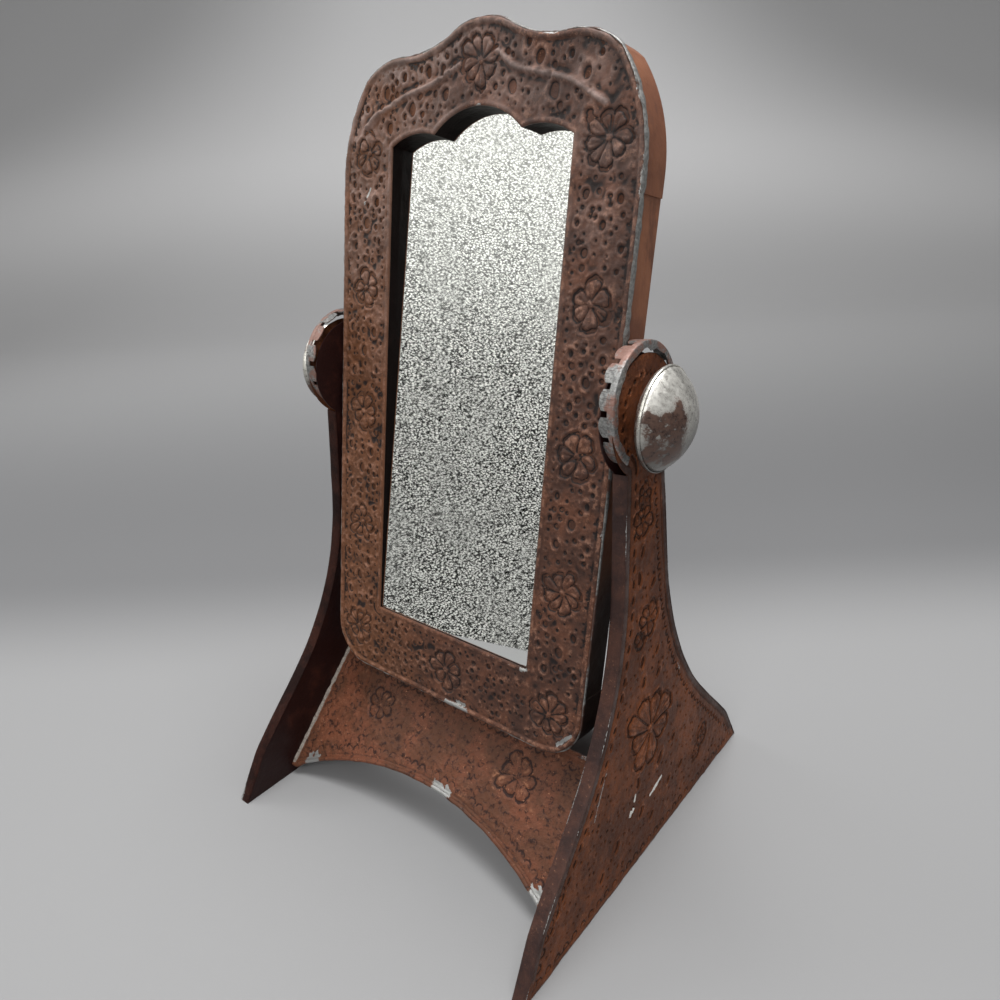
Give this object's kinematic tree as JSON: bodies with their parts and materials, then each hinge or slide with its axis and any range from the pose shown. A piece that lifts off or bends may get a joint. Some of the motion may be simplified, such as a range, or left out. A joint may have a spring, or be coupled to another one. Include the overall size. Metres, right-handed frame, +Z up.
{
  "type": "swinging table mirror",
  "caption": "Tall scalloped tin mirror box that tilts on thumb screws between two flared side panels joined by arched aprons.",
  "frame": {"origin": "centre of the footprint on the floor, straight below the pivot axis", "axes": "+X to the mirror's right as seen from the front, +Y to the back, +Z up"},
  "size_m": [0.2574, 0.2514, 0.4376],
  "materials": {
    "embossed_tin": "brown patina over embossed tin, worn to bare metal on the edges",
    "plain_tin": "coppery brown paint on plain tin",
    "dark_tin": "dark red-brown paint on plain tin",
    "bare_tin": "bare worn tin",
    "solder": "dull grey solder",
    "looking_glass": "silvered glass",
    "board": "grey-brown pressed board",
    "steel": "plain steel"
  },
  "bodies": {
    "stand": {"front_apron": "embossed_tin", "rear_apron": "embossed_tin", "apron_solder": "solder", "left_outer_face": "embossed_tin", "left_inner_face": "dark_tin", "left_front_edge": "dark_tin", "left_rear_edge": "dark_tin", "left_head_rim": "bare_tin", "left_sole_strip": "dark_tin", "right_outer_face": "embossed_tin", "right_inner_face": "dark_tin", "right_front_edge": "dark_tin", "right_rear_edge": "dark_tin", "right_head_rim": "bare_tin", "right_sole_strip": "dark_tin"},
    "mirror_box": {"mirror_face": "embossed_tin", "opening_lip": "dark_tin", "top_casing": "plain_tin", "bottom_casing": "plain_tin", "back_cover": "plain_tin", "mirror_glass": "looking_glass", "backing_board": "board", "glazing_tabs": "bare_tin", "left_casing": "plain_tin", "left_pivot_nut": "steel", "left_pivot_plate": "bare_tin", "left_spacer": "steel", "right_casing": "plain_tin", "right_pivot_nut": "steel", "right_pivot_plate": "bare_tin", "right_spacer": "steel"},
    "left_knob": {"left_washer": "steel", "left_knob_back": "bare_tin", "left_knob_front": "bare_tin", "left_screw": "steel"},
    "right_knob": {"right_washer": "steel", "right_knob_back": "bare_tin", "right_knob_front": "bare_tin", "right_screw": "steel"}
  },
  "joints": [
    {"name": "mirror_tilt", "type": "hinge", "parent": "stand", "child": "mirror_box", "pos_m": [0, 0, 0.2656], "axis": [1, 0, 0], "continuous": true},
    {"name": "left_knob_turn", "type": "hinge", "parent": "mirror_box", "child": "left_knob", "pos_m": [-0.11, 0, 0.2656], "axis": [-1, 0, 0], "range_deg": [0, 360]},
    {"name": "right_knob_turn", "type": "hinge", "parent": "mirror_box", "child": "right_knob", "pos_m": [0.11, 0, 0.2656], "axis": [1, 0, 0], "range_deg": [0, 360]}
  ]
}
